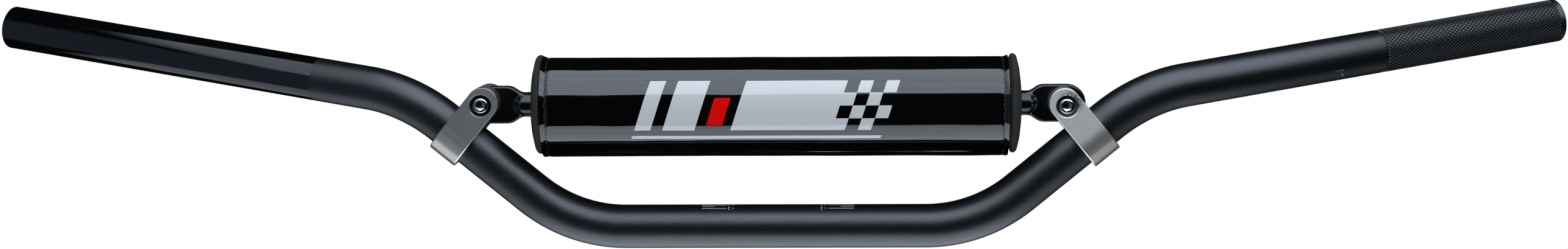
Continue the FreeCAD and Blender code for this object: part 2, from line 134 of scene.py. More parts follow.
def blotches(tree, place, size, detail=2.0, stretch=(1, 1, 1)):
    """Noise whose blotches are about size mm across, longer along an axis with a small stretch."""
    moved = add(tree, "Mapping", {"Vector": place, "Scale": stretch})
    return add(tree, "TexNoise", {"Vector": moved, "Scale": 1 / (size * MM), "Detail": detail})


def shades(tree, pattern, first, second, low=0, high=1):
    """Runs from one colour towards another as a pattern rises."""
    amount = add(tree, "MapRange", pattern, *NOISE_RANGE, low, high)
    return add(tree, "Mix", {0: amount, 6: first, 7: second}, **COLOURS)


def relief(height, depth):
    """The inputs of a Bump node that is depth mm deep."""
    return {"Height": height, "Distance": depth * MM, "Strength": 1.0}


# %% [markdown]
# The bar is black anodised aluminium that was bead-blasted first. Blasting leaves a satin grain a few
# tenths of a millimetre across, and anodising leaves a hard clear oxide over the dye, which is why
# the black still shows soft, slightly blue highlights.

# %% Blasted black anodising
blasted, tree, shader, place = new_finish(
    "blasted_black_anodised_aluminium", IOR=1.9, Specular_Tint=linear("#dfe8f5"))
grain = blotches(tree, place, 0.34, 1)  # the real grain is finer; this is coarse enough to show
tint = shades(tree, grain, "#040506", "#0d1014")
connect(shader,
        Base_Color=shades(tree, blotches(tree, place, 14), tint, "#060708", 0, 0.5),
        Roughness=add(tree, "MapRange", grain, *NOISE_RANGE, 0.26, 0.4),
        Normal=add(tree, "Bump", relief(grain, 0.08)))
print("finish:", blasted.name)

# %% [markdown]
# Under the throttle grip the tube is left smooth, so that the throttle sleeve turns freely. It is the
# same black oxide with a polish on it, so it mirrors the soft boxes with sharp edges.

# %% Polished black anodising
polished, tree, shader, place = new_finish(
    "polished_black_anodised_aluminium", IOR=1.95, Specular_Tint=linear("#e2e8f4"))
streaks = blotches(tree, place, 3, 3, (0.12, 1, 1))
wiped = blotches(tree, place, 9, 3, (0.3, 1, 1))
connect(shader,
        Base_Color=shades(tree, streaks, "#040405", "#08090b"),
        Roughness=add(tree, "MapRange", wiped, *NOISE_RANGE, 0.05, 0.13),
        Normal=add(tree, "Bump", relief(streaks, 0.004)))
print("finish:", polished.name)

# %% [markdown]
# The cross bar is a pressed rod with a glossier black coat: the press polishes the lugs.

# %% Gloss black coating
gloss, tree, shader, place = new_finish(
    "gloss_black_anodised_aluminium",
    Roughness=0.22, IOR=1.75, Specular_Tint=linear("#dfe8f5"))
dents = blotches(tree, place, 5)
connect(shader,
        Base_Color=shades(tree, dents, "#040405", "#08090b"),
        Normal=add(tree, "Bump", relief(dents, 0.03)))
print("finish:", gloss.name)

# %% [markdown]
# The clamps are machined aluminium, tumbled to a satin. A metal's colour is its reflection, so the
# colour is light grey and the roughness does the rest: the two big flats are sanded and so the
# dullest, while the narrow sides and the round that holds the bar are left as they were cut. On the
# left clamp the flats are painted a darker grey than on the right, though both clamps are the same
# aluminium: that darker grey is painted shade. One clamp has a cloudy yellow-green stain above and
# beside its bolt, where thread lock or a cleaner dried.

# %% The stain's place
STAIN_START, STAIN_END = 5.0, 7.6  # mm from the bolt's axis: full up to one, gone at the other
STAIN_MIDDLE = 0.95  # radians up from the right-hand side
STAIN_TURN = (1.0, 1.7)  # radians to each side of that: full up to one, gone at the other
STAIN_BLOTS = (0.38, 0.52)  # where in the noise a blot starts and is full
STAIN_DEPTH = 4  # mm behind its centre; the back of the clamp stays clean


def fold(tree, operation, *values):
    """Combines values by one operation, a pair at a time."""
    whole = values[0]
    for value in values[1:]:
        whole = add(tree, "Math", whole, value, operation=operation)
    return whole


def stain(tree, place, centre):
    """How much of a dried stain lies at a place, from 0 to 1."""
    off = add(tree, "VectorMath", place, mm(*centre), operation="SUBTRACT")
    x, y, z = add(tree, "SeparateXYZ", off).node.outputs
    squares = [fold(tree, "POWER", leg, 2) for leg in (x, z)]
    reach = add(tree, "Math", fold(tree, "ADD", *squares), operation="SQRT")
    turn = fold(tree, "SUBTRACT", fold(tree, "ARCTAN2", z, x), STAIN_MIDDLE)
    aside = add(tree, "Math", turn, operation="ABSOLUTE")
    return fold(tree, "MULTIPLY",
                add(tree, "MapRange", reach, STAIN_START * MM, STAIN_END * MM, 1, 0),
                add(tree, "MapRange", aside, *STAIN_TURN, 1, 0),
                add(tree, "MapRange", blotches(tree, place, 1.4, 4), *STAIN_BLOTS, 0, 1),
                fold(tree, "LESS_THAN", y, STAIN_DEPTH * MM))


# %% Satin aluminium
RISER_SINE, RISER_COSINE, RISER_FOOT = 0.632, 0.775, 103
ROUND_BLEND = 2.5  # mm to each side of the bar's axis, where the round passes into the flats
FLAT_FACING = (0.5, 0.9)  # how squarely a face looks ahead or back: turned, then sanded
ROUGH_TURNED, ROUGH_SANDED, ROUGH_SWAY = 0.24, 0.55, 0.015


def satin(name, pale, dark, turned_colour, stained_at=None):
    """Satin aluminium with its turned round in a colour of its own, and a stain round a point if one is
    given.
    """
    finish, tree, shader, place = new_finish(name, Metallic=0.85)
    patches = blotches(tree, place, 5, 3)
    colour = shades(tree, patches, pale, dark)
    if stained_at:
        amount = fold(tree, "MULTIPLY", stain(tree, place, stained_at), 0.95)
        colour = add(tree, "Mix", {0: amount, 6: colour, 7: "#4d4d18"}, **COLOURS)
    x, _, z = add(tree, "SeparateXYZ", place).node.outputs
    outward = fold(tree, "SUBTRACT", add(tree, "Math", x, operation="ABSOLUTE"), RISER_FOOT * MM)
    above_bar = fold(tree, "SUBTRACT", fold(tree, "MULTIPLY", z, RISER_COSINE),
                     fold(tree, "MULTIPLY", outward, RISER_SINE))
    flat = add(tree, "MapRange", above_bar, -ROUND_BLEND * MM, ROUND_BLEND * MM, 0, 1)
    normal = add(tree, "SeparateXYZ", add(tree, "NewGeometry", out="Normal"), out="Y")
    facing = add(tree, "MapRange", add(tree, "Math", normal, operation="ABSOLUTE"),
                 *FLAT_FACING, 0, 1)
    sanded = fold(tree, "MULTIPLY", flat, facing)
    connect(shader,
            Base_Color=add(tree, "Mix", {0: flat, 6: turned_colour, 7: colour}, **COLOURS),
            Roughness=fold(tree, "ADD",
                           add(tree, "MapRange", sanded, 0.0, 1.0, ROUGH_TURNED, ROUGH_SANDED),
                           add(tree, "MapRange", patches, *NOISE_RANGE, -ROUGH_SWAY, ROUGH_SWAY)),
            Normal=add(tree, "Bump", relief(blotches(tree, place, 0.4, 3), 0.001)))
    return finish


# The left clamp's flats are painted a darker grey than the right's, though both are the same aluminium:
# painted shade.
left_satin_painted_shade = satin("satin_aluminium_left_painted_shade", "#9d9fa0", "#939596", "#e8e6e4")
right_satin = satin("satin_aluminium_right", "#f4f5f6", "#e9ebed", "#f0eeea", (147.2, -14, 62.5))
print("finishes:", left_satin_painted_shade.name, right_satin.name)

# %% [markdown]
# The bolts are steel with a thin bright zinc plate: harder and brighter than the clamps.

# %% Zinc-plated steel
zinc, tree, shader, place = new_finish("zinc_plated_steel", Metallic=1.0, Roughness=0.16)
plate = blotches(tree, place, 2, 3)
connect(shader,
        Base_Color=shades(tree, plate, "#d8dbe4", "#bfc2cf"),
        Normal=add(tree, "Bump", relief(plate, 0.01)))
print("finish:", zinc.name)

# %% [markdown]
# The pad's core is closed-cell foam: dull charcoal, with cells about half a millimetre across that
# were cut open on the ends.

# %% Closed-cell foam
foam_finish, tree, shader, place = new_finish(
    "closed_cell_foam", Roughness=0.9, Specular_IOR_Level=0.25)
cells = add(tree, "TexVoronoi", {"Vector": place, "Scale": 1 / (0.7 * MM)}, out="Distance")
shade = shades(tree, blotches(tree, place, 6), "#2c2d2c", "#343433")
connect(shader,
        Base_Color=shades(tree, cells, shade, "#1d1d1c", 0.3, 0),
        Normal=add(tree, "Bump", relief(cells, 0.08)))
print("finish:", foam_finish.name)

# %% [markdown]
# The cover is black vinyl film, printed and then sealed under a clear gloss layer. The print is a
# plain pattern of slanted blocks and chequers: slanting is one sum, the place along the pad less a
# share of the way round it. A block is where both places lie between two limits.

# %% Places on the cover
PAD_AXIS_Z = 62.5
COVER_RADIUS = 23.7
PRINT_SLANT = 0.32
vinyl, tree, shader, place = new_finish(
    "printed_vinyl_film",
    Roughness=0.07, Coat_Weight=0.35, Coat_Roughness=0.04, Coat_IOR=1.5, IOR=1.68,
    Specular_Tint=linear("#e6effa"))
x, y, z = add(tree, "SeparateXYZ", place).node.outputs
above = fold(tree, "SUBTRACT", z, PAD_AXIS_Z * MM)
turn = fold(tree, "ARCTAN2", above, fold(tree, "MULTIPLY", y, -1.0))
around = fold(tree, "MULTIPLY", turn, COVER_RADIUS)
slanted = fold(tree, "SUBTRACT", fold(tree, "DIVIDE", x, MM),
               fold(tree, "MULTIPLY", around, PRINT_SLANT))


def between(value, low, high):
    """1 where a value lies between two limits."""
    return fold(tree, "MULTIPLY", fold(tree, "GREATER_THAN", value, low),
                fold(tree, "LESS_THAN", value, high))


def block(start, end, bottom=-12, top=14):
    """A slanted block of print, in mm along and round the pad."""
    return fold(tree, "MULTIPLY", between(slanted, start, end), between(around, bottom, top))


# %% The print
CHEQUER = 6.5  # mm to the side of a square
squares = add(tree, "CombineXYZ", fold(tree, "DIVIDE", slanted, CHEQUER),
              fold(tree, "DIVIDE", fold(tree, "ADD", around, 12.0), CHEQUER), 0.5)
chequer = add(tree, "TexChecker", {"Vector": squares, "Scale": 1.0, "Color1": "#ffffff",
                                   "Color2": "#000000"}, out="Fac")
white_print = fold(tree, "MAXIMUM", block(-66, -58), block(-52, -36), block(-18, 32.5),
                   fold(tree, "MULTIPLY", block(32.5, 58.5), chequer),
                   block(-66, 58.5, -17.5, -15.5))
film = add(tree, "Mix", {0: white_print, 6: "#060607", 7: "#d0d7db"}, **COLOURS)
waves = add(tree, "Bump", relief(blotches(tree, place, 22, 1, (0.25, 1, 1)), 0.25))
rolled = blotches(tree, place, 4, 2, (0.04, 1, 1))
connect(shader,
        Base_Color=add(tree, "Mix", {0: block(-31, -23, -9, 5), 6: film, 7: "#f00a08"}, **COLOURS),
        Normal=add(tree, "Bump", relief(rolled, 0.02), {"Normal": waves}))
print("finish:", vinyl.name)

# %% [markdown]
# Four small finishes are left: the polyester thread, the nylon of the hook and loop closure, the bare
# metal of a punch mark and the white ink of the alignment marks.

# %% Thread, closure, bare metal and ink
thread, tree, shader, place = new_finish("polyester_thread", Roughness=0.6)
twist = add(tree, "TexWave", {"Vector": place, "Scale": 1 / (0.4 * MM)},
            out=1, bands_direction="DIAGONAL")
connect(shader, Base_Color=add(tree, "Mix", {0: twist, 6: "#161618", 7: "#4a4a50"}, **COLOURS))

nylon, tree, shader, place = new_finish("nylon_hook_and_loop", Roughness=0.9, Sheen_Weight=0.3)
hooks = add(tree, "TexVoronoi", {"Vector": place, "Scale": 1 / (0.6 * MM)}, out="Distance")
connect(shader, Base_Color=shades(tree, hooks, "#0a0a0b", "#1b1b1d"),
        Normal=add(tree, "Bump", relief(hooks, 0.2)))

bare, tree, shader, place = new_finish(
    "bare_aluminium_of_a_punch_mark", Metallic=0.6, Roughness=0.5)
connect(shader, Base_Color=shades(tree, blotches(tree, place, 1.5), "#b4b5b9", "#55575c"))

ink, tree, shader, place = new_finish("white_pad_ink", Roughness=0.5)
connect(shader, Base_Color=shades(tree, blotches(tree, place, 0.6), "#b9bdc2", "#dcdfe2"))
print("finishes:", thread.name, nylon.name, bare.name, ink.name)

# %% [markdown]
# ## Modelling helpers
# Every piece is shaped with the same tools that a hand would use in edit mode. Operators act on what
# is selected, so each step begins by clearing the selection, and faces are picked by where they are.

# %% Selecting
def deselect():
    """Leaves edit mode and deselects everything."""
    if bpy.context.object and bpy.context.object.mode == "EDIT":
        bpy.ops.object.mode_set(mode="OBJECT")
    bpy.ops.object.select_all(action="DESELECT")


def pick(piece):
    """Makes a piece the only selected and active one."""
    deselect()
    piece.select_set(True)
    bpy.context.view_layer.objects.active = piece


def open_whole(piece):
    """Opens a piece for editing with all of it selected."""
    pick(piece)
    bpy.ops.object.mode_set(mode="EDIT")
    bpy.ops.mesh.select_all(action="SELECT")


def choose(piece, kind, rule, mode=None):
    """Opens a piece with only those of its vertices, edges or faces selected that keep a rule."""
    open_whole(piece)
    bpy.ops.mesh.select_mode(type=mode or kind)
    bpy.ops.mesh.select_all(action="DESELECT")
    bpy.ops.object.mode_set(mode="OBJECT")
    data = piece.data
    for element in {"VERT": data.vertices, "EDGE": data.edges, "FACE": data.polygons}[kind]:
        element.select = rule(element)
    bpy.ops.object.mode_set(mode="EDIT")


# %% Shaping
def place_mesh(name):
    """Names the piece just added and moves its place into its mesh."""
    piece = bpy.context.object
    piece.name = piece.data.name = name
    bpy.ops.object.transform_apply()
    return piece


def open_new(name):
    """Places the piece just added and opens it with all of it selected."""
    piece = place_mesh(name)
    bpy.ops.object.mode_set(mode="EDIT")
    bpy.ops.mesh.select_mode(type="VERT")
    bpy.ops.mesh.select_all(action="SELECT")
    return piece


def apply(piece, kind, **settings):
    """Adds a modifier and applies it."""
    pick(piece)
    modifier = piece.modifiers.new(kind.lower(), kind)
    for name, value in settings.items():
        setattr(modifier, name, value)
    bpy.ops.object.modifier_apply(modifier=modifier.name)


def spin(angle, steps, centre, axis):
    """Spins what is selected, right-handed about the axis; the tool itself counts the other way."""
    bpy.ops.mesh.spin(steps=steps, angle=-radians(angle), center=centre, axis=axis)


def draw_line(name, points):
    """A line through points: a plane merged to one vertex, then extruded from point to point."""
    deselect()
    bpy.ops.mesh.primitive_plane_add(size=0.001, location=points[0])
    piece = open_new(name)
    bpy.ops.mesh.merge(type="CENTER")
    for start, end in zip(points, points[1:]):
        bpy.ops.mesh.extrude_vertices_move(TRANSFORM_OT_translate={"value": end - start})
    bpy.ops.mesh.select_all(action="SELECT")
    return piece


def add_rod(name, sides, radius, length, middle, turn):
    """A cylinder with its sizes in mm, opened for editing."""
    deselect()
    bpy.ops.mesh.primitive_cylinder_add(
        vertices=sides, radius=radius * MM, depth=length * MM, location=middle,
        rotation=[radians(angle) for angle in turn])
    return open_new(name)


# %% Joining and finishing
DOUBLES = 0.000002  # vertices nearer than this, in metres, are one
SMOOTH_ANGLE = 30  # degrees; a sharper edge is shaded as an edge


def join_as(name, parts):
    """Joins parts into one named piece."""
    deselect()
    for part in parts:
        part.select_set(True)
    bpy.context.view_layer.objects.active = parts[0]
    bpy.ops.object.join()
    return place_mesh(name)


def cut_out(piece, tool, operation="DIFFERENCE"):
    """Cuts a piece with a tool, which is used up."""
    apply(piece, "BOOLEAN", object=tool, operation=operation, solver="EXACT")
    bpy.data.objects.remove(tool)


def smooth(angle=SMOOTH_ANGLE):
    """Shades the selected piece smooth, except at sharper edges."""
    bpy.ops.object.shade_smooth_by_angle(angle=radians(angle))


def close_up(piece, angle=SMOOTH_ANGLE):
    """Merges doubles, turns the faces outwards and shades the piece."""
    open_whole(piece)
    bpy.ops.mesh.remove_doubles(threshold=DOUBLES)
    bpy.ops.mesh.normals_make_consistent()
    bpy.ops.object.mode_set(mode="OBJECT")
    smooth(angle)


def turn_over(piece):
    """Turns all the faces of a piece over."""
    open_whole(piece)
    bpy.ops.mesh.flip_normals()
    bpy.ops.object.mode_set(mode="OBJECT")


def dress(piece, finish):
    """Gives a piece one finish."""
    piece.data.materials.clear()
    piece.data.materials.append(finish)


def report(piece):
    """Leaves edit mode and prints a piece's faces and its box in mm."""
    pick(piece)
    spans = [[vertex.co[axis] / MM for vertex in piece.data.vertices] for axis in range(3)]
    print(piece.name, len(piece.data.polygons), "faces",
          [round(min(span), 2) for span in spans], [round(max(span), 2) for span in spans])


# %% [markdown]
# ## The bar
# The tube is drawn as it is bent in the shop: a ring at the throttle end is extruded along each
# straight run and spun through each bend about a point 75 mm away. Its centre line has four corners
# and two tips, from the drawing.

# %% The centre line
TUBE_RADIUS = 11.1
BORE_RADIUS = 7.1
BEND_RADIUS = 75.0
THROTTLE_ZONE = 179.4
TIP, UPPER, LOWER = mm(407.38, 55.505, 99.994), mm(185.913, 0, 67.622), mm(103, 0, 0)
GRIP_HEADING = (TIP - UPPER).normalized()


def mirrored(point):
    """The same point on the throttle side."""
    return Vector((-point.x, point.y, point.z))


corners = [mirrored(TIP), mirrored(UPPER), mirrored(LOWER), LOWER, UPPER, TIP]
print("corners in mm:", [[round(value / MM, 1) for value in corner] for corner in corners])

# %% Extrude the runs and spin the bends
RING_COUNT = 76
BEND_STEP_COUNT = 16
KNURL_ZONE = 102.4
KNURL_MARGIN = 0.6  # the knurl stops this far short of the tip
heading = (corners[1] - corners[0]).normalized()
deselect()
bpy.ops.mesh.primitive_circle_add(
    vertices=RING_COUNT, radius=TUBE_RADIUS * MM, location=corners[0],
    rotation=heading.to_track_quat("Z", "Y").to_euler())
bar = open_new("bar_tube")


def run_to(point):
    """Extrudes the open ring straight to a point."""
    global here
    bpy.ops.mesh.extrude_region_move(TRANSFORM_OT_translate={"value": point - here})
    here = point


here = corners[0]
run_to(here + heading * THROTTLE_ZONE * MM)
for corner, after in zip(corners[1:-1], corners[2:]):
    leaving = (after - corner).normalized()
    turn = heading.angle(leaving)
    setback = BEND_RADIUS * MM * tan(turn / 2)
    run_to(corner - heading * setback)
    axis = heading.cross(leaving).normalized()
    spin(degrees(turn), BEND_STEP_COUNT,
         here + axis.cross(heading) * BEND_RADIUS * MM, axis)
    here, heading = corner + leaving * setback, leaving
    print("bend of", round(degrees(turn), 1), "degrees")
run_to(TIP - heading * KNURL_ZONE * MM)
run_to(TIP - heading * KNURL_MARGIN * MM)
run_to(TIP)
report(bar)

# %% [markdown]
# Solidify gives the skin its 4 mm wall and closes the two ends, and a small bevel breaks the end
# edges, as a lathe does.

# %% Wall and ends
END_BEVEL = 0.5
close_up(bar)
apply(bar, "SOLIDIFY", thickness=(TUBE_RADIUS - BORE_RADIUS) * MM, offset=-1, use_even_offset=True)


def away(point, tip, heading):
    """How far a point lies back from a tip, along the run that leads to it, in mm."""
    return (tip - point).dot(heading) / MM


def is_end_edge(edge):
    """Whether an edge runs round the skin or the bore at an end of the tube."""
    ends = [bar.data.vertices[index].co for index in edge.vertices]
    middle = (ends[0] + ends[1]) / 2
    for tip, out in ((TIP, GRIP_HEADING), (mirrored(TIP), mirrored(GRIP_HEADING))):
        reach = (middle - tip).length / MM
        if all(abs(away(end, tip, out)) < 0.01 for end in ends) and (
                abs(reach - TUBE_RADIUS) < 0.1 or abs(reach - BORE_RADIUS) < 0.1):
            return True
    return False


choose(bar, "EDGE", is_end_edge, "VERT")  # vertex mode takes the edges across the wall too
bpy.ops.mesh.bevel(offset=END_BEVEL * MM, segments=3)
report(bar)

# %% [markdown]
# Under the clutch-side grip the tube is knurled so that the grip can't turn. A knurl is two families
# of crossing spiral grooves, which leave small flat-topped diamonds. The zone is cut into a fine
# grid, and every other vertex, like the black squares of a chessboard, is sunk.

# %% The knurl's grid
KNURL_ROWS = 80
KNURL_DEPTH = 0.35
ROW = (KNURL_ZONE - KNURL_MARGIN) / KNURL_ROWS  # half a diamond, in mm
SLACK = 0.1  # mm by which a vertex may miss its place
side_axis = GRIP_HEADING.to_track_quat("Z", "Y").inverted()


def on_grip(point):
    """A point's place on the clutch-side grip: mm back from the tip, mm from its axis, turn."""
    spoke = side_axis @ (point - TIP)
    return (away(point, TIP, GRIP_HEADING), hypot(spoke.x, spoke.y) / MM,
            atan2(spoke.y, spoke.x))


def is_lengthwise(edge):
    """Whether an edge runs along the skin over the whole of the zone."""
    ends = [on_grip(bar.data.vertices[index].co) for index in edge.vertices]
    near, far = sorted(back for back, _, _ in ends)
    return (min(out for _, out, _ in ends) > TUBE_RADIUS - SLACK and near > KNURL_MARGIN - SLACK
            and far < KNURL_ZONE + SLACK and far - near > 9)


choose(bar, "EDGE", is_lengthwise)
bpy.ops.mesh.subdivide(number_cuts=KNURL_ROWS - 1)
report(bar)
FIRST_TURN = next(turn for back, _, turn in (on_grip(vertex.co) for vertex in bar.data.vertices)
                  if abs(back - KNURL_ZONE) < 0.05)
print("the columns start at", round(degrees(FIRST_TURN), 2), "degrees; a row is",
      round(ROW, 3), "mm")

# %% [markdown]
# Splitting the faces along the sunk vertices and dissolving the others leaves one diamond for each,
# and an inset with a height raises it out of its grooves.

# %% Sink and raise the diamonds
GROOVE_HALF_WIDTH = 0.24


def in_chequer(parity, sunk):
    """A rule for every other vertex of the zone's skin; some already lie sunk."""
    def rule(vertex):
        back, out, turn = on_grip(vertex.co)
        column = round((turn - FIRST_TURN) / (2 * pi / RING_COUNT))
        return (KNURL_MARGIN + SLACK < back < KNURL_ZONE - SLACK and out > TUBE_RADIUS - sunk - SLACK
                and (column + round((back - KNURL_MARGIN) / ROW)) % 2 == parity)
    return rule


def is_diamond(face):
    """Whether a face is a diamond of the knurl."""
    back, out, _ = on_grip(face.center)
    return (len(face.vertices) == 4 and face.area < 4 * MM * MM
            and KNURL_MARGIN < back < KNURL_ZONE and out > TUBE_RADIUS - 0.6)


choose(bar, "VERT", in_chequer(0, 0))
bpy.ops.transform.shrink_fatten(value=-KNURL_DEPTH * MM)
bpy.ops.mesh.select_more()
bpy.ops.mesh.quads_convert_to_tris(quad_method="SHORTEST_DIAGONAL")
choose(bar, "VERT", in_chequer(1, KNURL_DEPTH))
bpy.ops.mesh.dissolve_verts()
choose(bar, "FACE", is_diamond)
bpy.ops.mesh.inset(thickness=GROOVE_HALF_WIDTH * MM, depth=KNURL_DEPTH * MM, use_individual=True)
report(bar)

# %% Finishes of the bar's three zones
for finish in (blasted, polished):
    bar.data.materials.append(finish)
for face in bar.data.polygons:
    back = away(face.center, mirrored(TIP), mirrored(GRIP_HEADING))
    face.material_index = 1 if back < THROTTLE_ZONE and face.center.x < 0 else 0
smooth()
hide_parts("handlebar_tube")
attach(bar, "root")
report(bar)

# %% [markdown]
# ## The pad's foam core
# The core is a thick foam sleeve, slit along its underside so that it opens over the cross bar. It
# is turned from half its section: the flat end, a rounded bead that stands proud of the cover, and
# the bore. Spinning the filled section a little short of a full turn leaves the slit.

# %% The foam's section
FOAM_END = 123.6
FOAM_SHIFT = 0.5  # the core sits a little off the middle of its cover
RIM_END = FOAM_END - 2.4
BEAD_START = 117.9
BEAD_RADIUS = 25.1
BORE = 6.5
SLIT_HALF_ANGLE = degrees(0.4 / 22.65)  # half the slit's width over the foam's radius


def corner_arc(centre_x, centre_r, radius, start, end, count=6):
    """Points of a rounded corner in the section, as (along, out) in mm."""
    turns = [radians(start + (end - start) * index / count) for index in range(count + 1)]
    return [(centre_x + radius * cos(turn), centre_r + radius * sin(turn))
            for turn in turns]


half = [(BEAD_START - 1.2, 22.6)]
half += corner_arc(BEAD_START + 1.3, BEAD_RADIUS - 1.3, 1.3, 180, 90)
half += corner_arc(RIM_END - 2.0, BEAD_RADIUS - 2.0, 2.0, 90, 12)
half += [(RIM_END + 1.1, 19), (RIM_END + 1.9, 13), (FOAM_END, BORE + 1), (FOAM_END - 1, BORE)]
section = half + [(-x, r) for x, r in reversed(half)]
print("the section has", len(section), "points")

# %% The foam core
PAD_AXIS = mm(0, 0, PAD_AXIS_Z)
ALONG = (1, 0, 0)


def on_pad(along, out, angle):
    """A point of the pad: mm along the cross bar, mm out from it, and the angle from the rear."""
    turn = radians(angle)
    return mm(along, out * cos(turn), PAD_AXIS_Z + out * sin(turn))


foam = draw_line("pad_core", [on_pad(x + FOAM_SHIFT, r, 270 + SLIT_HALF_ANGLE) for x, r in section])
bpy.ops.mesh.edge_face_add()
spin(360 - 2 * SLIT_HALF_ANGLE, 120, PAD_AXIS, ALONG)
close_up(foam, 40)
dress(foam, foam_finish)
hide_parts("pad_foam")
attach(foam, "root")
report(foam)

# %% [markdown]
# ## The cover
# The cover is one sheet of printed film, wrapped once round the foam and lapped underneath, with a
# folded hem sewn down at each end. The stitches pull a shallow groove, and the hem stands out like a
# small flare. A line with that profile is spun round the cross bar, stepped out and spun on to make
# the flap.

# %% The cover
COVER_END = 117.1
SEAM = COVER_END - 2.6  # the row of stitches lies here, in the groove
HEM = [(0, 24.45), (0.5, 24.3), (1.5, 23.9), (2.3, 23.55), (2.6, 23.4), (2.9, 23.5), (3.6, 23.72),
       (5, COVER_RADIUS)]  # mm in from the cover's end, mm out from the axis
INNER_COUNT, INNER_STEP = 55, 4.004
WRAP_START, WRAP_TURN, STEP_TURN, FLAP_TURN = 248, 350, 2, 58
FLAP_RADIUS, FLAP_FLAT_RADIUS = 26.5, 26.55  # the flap's hem is flattened to the second one
hem = [(COVER_END - back, r) for back, r in HEM]
inner = [(COVER_END - 5 - INNER_STEP * index, COVER_RADIUS) for index in range(1, INNER_COUNT + 1)]
profile = hem + inner + [(-x, r) for x, r in reversed(hem)]
cover = draw_line("pad_cover_film", [on_pad(x, r, WRAP_START) for x, r in profile])
spin(WRAP_TURN, 175, PAD_AXIS, ALONG)
spin(STEP_TURN, 1, PAD_AXIS, ALONG)
out = FLAP_RADIUS / COVER_RADIUS
bpy.ops.transform.resize(value=(1, out, out), center_override=PAD_AXIS)
spin(FLAP_TURN, 29, PAD_AXIS, ALONG)
report(cover)
for vertex in cover.data.vertices:
    spoke = Vector((0, vertex.co.y, vertex.co.z - PAD_AXIS_Z * MM))
    if spoke.length > FLAP_FLAT_RADIUS * MM:
        vertex.co -= spoke * (1 - FLAP_FLAT_RADIUS * MM / spoke.length)
report(cover)

# %% Puckers, wall and finish of the cover
PUCKER_SIZE, PUCKER_DEPTH = 30, 0.35
COVER_WALL = 0.9
puckers = bpy.data.textures.new("film_puckers", "CLOUDS")
puckers.noise_scale = PUCKER_SIZE * MM
if sum(face.normal.dot(face.center - Vector((face.center.x, 0, PAD_AXIS.z)))
       for face in cover.data.polygons) < 0:
    turn_over(cover)
apply(cover, "DISPLACE", texture=puckers, strength=PUCKER_DEPTH * MM)
apply(cover, "SOLIDIFY", thickness=COVER_WALL * MM, offset=-1)
smooth(50)
dress(cover, vinyl)
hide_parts("pad_cover")
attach(cover, "root")
report(cover)

# %% [markdown]
# Each hem is sewn with a single row of thread. One stitch is modelled as a small capsule and copied
# round the pad, each copy nudged a little, as a sewing machine leaves it.

# %% Stitches
STITCH_PITCH = 5.4  # degrees
STITCH_ROWS = ((300, 23.45, 55), (242, 26.2, 11))  # first angle, mm out, stitches: wrap and flap
STITCH_RADIUS, STITCH_SHAPE = 0.28, (0.9, 3.2, 0.8)
STITCH_NUDGE, STITCH_LEAN = 0.22, 0.25  # mm along the pad, radians


def sew(name, along):
    """A row of stitches round the pad at a distance along it."""
    places = [(first + STITCH_PITCH * index, out)
              for first, out, count in STITCH_ROWS for index in range(count)]
    row = []
    for count, (angle, out) in enumerate(places):
        deselect()
        bpy.ops.mesh.primitive_uv_sphere_add(segments=8, ring_count=6, radius=STITCH_RADIUS * MM)
        row.append(bpy.context.object)
        row[-1].matrix_world = (
            Matrix.Translation(on_pad(along + STITCH_NUDGE * sin(count * 2.4), out, angle))
            @ Matrix.Rotation(radians(angle - 90), 4, "X")
            @ Matrix.Rotation(STITCH_LEAN * sin(count * 1.7), 4, "Z")
            @ Matrix.Diagonal((*STITCH_SHAPE, 1)))
    piece = join_as(name, row)
    bpy.ops.object.shade_smooth()
    dress(piece, thread)
    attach(piece, "root")
    report(piece)


sew("left_stitches", -SEAM)
sew("right_stitches", SEAM)

# %% [markdown]
# ## The cross bar
# The cross bar is a round rod whose ends are pressed flat into lugs under heat. Each lug is drawn as
# its outline, given its thickness, and its edges are rounded with a bevel. The press leaves a round
# tongue of the rod on each face, so a stub of rod is cut with a conical form. All of this is joined
# to the rod, and a remesh in 0.45 mm cells with a few smoothing steps blends it as pressing does.

# %% Numbers of the cross bar
ROD_RADIUS = 6.35
BOLT_PLACE = 147.197
SLIDES = {-1: 0.85, 1: 1.2}  # mm to the left that the left and right clamp sit, with their bolts
PRESS_PLACE = BOLT_PLACE - 20.9
FLARE_START, FLARE_END = BOLT_PLACE - 20.0, BOLT_PLACE - 12.6
LUG_HALF_THICKNESS, LUG_HALF_HEIGHT, FLARE_ROOT = 3.3, 9.5, 6.1
LUG_START = PRESS_PLACE - 3
LUG_ROUNDING = 1.1
TOUCHING = 0.01  # places nearer than this, in mm, are the same
RISER = (UPPER - LOWER).normalized()


def slid(side):
    """How far the clamp and the bolt of a side (-1 left, 1 right) have slid along the bar."""
    return Vector((side * RISER.x, 0, RISER.z)) * -side * SLIDES[side] * MM


print("the clamps have slid", [[round(value / MM, 2) for value in slid(side)] for side in SLIDES])


# %% One lug
def flare(share):
    """A lug's (place, half height) at a share of its flare, which is a smooth step."""
    return (FLARE_START + (FLARE_END - FLARE_START) * share,
            FLARE_ROOT + (LUG_HALF_HEIGHT - FLARE_ROOT) * share * share * (3 - 2 * share))


def is_rim(edge):
    """Whether an edge lies in one of the lug's two faces, away from the rod."""
    ends = [lug.data.vertices[index].co for index in edge.vertices]
    return (abs(ends[0].y - ends[1].y) < TOUCHING * MM
            and min(end.x for end in ends) > (LUG_START - 0.1) * MM)


